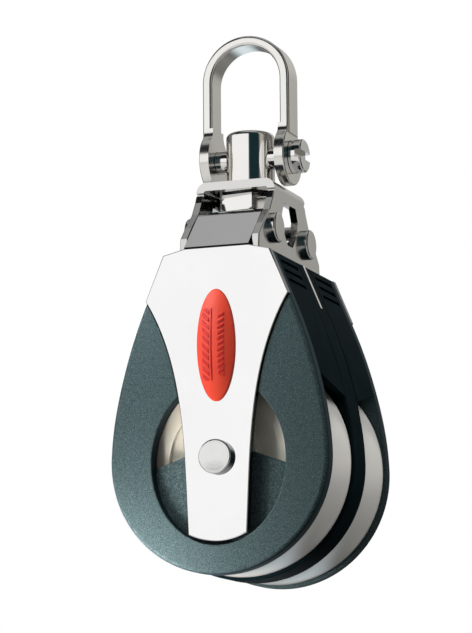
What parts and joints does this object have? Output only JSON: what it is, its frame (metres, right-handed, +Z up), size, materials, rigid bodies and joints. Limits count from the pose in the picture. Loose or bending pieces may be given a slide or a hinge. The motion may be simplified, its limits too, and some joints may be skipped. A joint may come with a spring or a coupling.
{
  "type": "swivel shackle pulley block",
  "caption": "Sailing block: two metal-rimmed sheaves on one axle between teardrop cheeks and metal straps, under a swivelling head with a screw-pin shackle.",
  "frame": {"origin": "inside of the shackle bow at its top middle, where the block bears on what it hangs from", "axes": "+Z up along the load line, +X towards the slotted head of the shackle pin, -Y towards the front cheek and badge; the sheaves turn about Y"},
  "size_m": [0.0774, 0.0758, 0.1907],
  "materials": {
    "shackle_steel": "polished stainless, faint grain",
    "bridge_steel": "satin stainless",
    "strap_steel": "mirror-polished stainless",
    "cheek_plastic": "matte moulded, fine sparkle grain",
    "spacer_plastic": "glossy black",
    "badge_rubber": "satin orange-red",
    "sheave_alloy": "satin turned",
    "hub_acetal": "cream, satin",
    "bearing_steel": "ground",
    "washer_acetal": "satin"
  },
  "bodies": {
    "shackle": {"shackle_bow": "shackle_steel"},
    "shackle_pin": {"shackle_pin": "shackle_steel"},
    "swivel_post": {"swivel_post": "shackle_steel", "swivel_nut": "shackle_steel", "swivel_lock_pin": "bearing_steel"},
    "front_sheave": {"front_sheave_rim": "sheave_alloy", "front_sheave_hub": "hub_acetal"},
    "rear_sheave": {"rear_sheave_rim": "sheave_alloy", "rear_sheave_hub": "hub_acetal"},
    "block": {"swivel_upper_washer": "washer_acetal", "swivel_lower_washer": "washer_acetal", "head_bridge": "bridge_steel", "front_cross_pin": "bridge_steel", "rear_cross_pin": "bridge_steel", "front_strap": "strap_steel", "rear_strap": "strap_steel", "centre_strap": "strap_steel", "front_badge": "badge_rubber", "rear_badge": "badge_rubber", "front_cheek": "cheek_plastic", "rear_cheek": "cheek_plastic", "front_centre_plate": "spacer_plastic", "rear_centre_plate": "spacer_plastic", "front_spacer": "spacer_plastic", "rear_spacer": "spacer_plastic", "front_bearing_sleeve": "bearing_steel", "rear_bearing_sleeve": "bearing_steel", "front_outer_thrust_washer": "washer_acetal", "front_inner_thrust_washer": "washer_acetal", "rear_outer_thrust_washer": "washer_acetal", "rear_inner_thrust_washer": "washer_acetal", "left_tie_rod": "bearing_steel", "right_tie_rod": "bearing_steel", "axle": "strap_steel"}
  },
  "joints": [
    {"name": "shackle_pin_withdraw", "type": "slide", "parent": "shackle", "child": "shackle_pin", "axis": [1, 0, 0], "range_m": [0, 0.032]},
    {"name": "head_tilt", "type": "hinge", "parent": "shackle", "child": "swivel_post", "pos_m": [0, 0, -0.0402], "axis": [1, 0, 0], "range_deg": [-90, 90]},
    {"name": "head_swivel", "type": "hinge", "parent": "swivel_post", "child": "block", "pos_m": [0, 0, -0.0533], "axis": [0, 0, 1], "continuous": true},
    {"name": "front_sheave_spin", "type": "hinge", "parent": "block", "child": "front_sheave", "pos_m": [0, 0, -0.1483], "axis": [0, 1, 0], "continuous": true},
    {"name": "rear_sheave_spin", "type": "hinge", "parent": "block", "child": "rear_sheave", "pos_m": [0, 0, -0.1483], "axis": [0, 1, 0], "continuous": true}
  ]
}
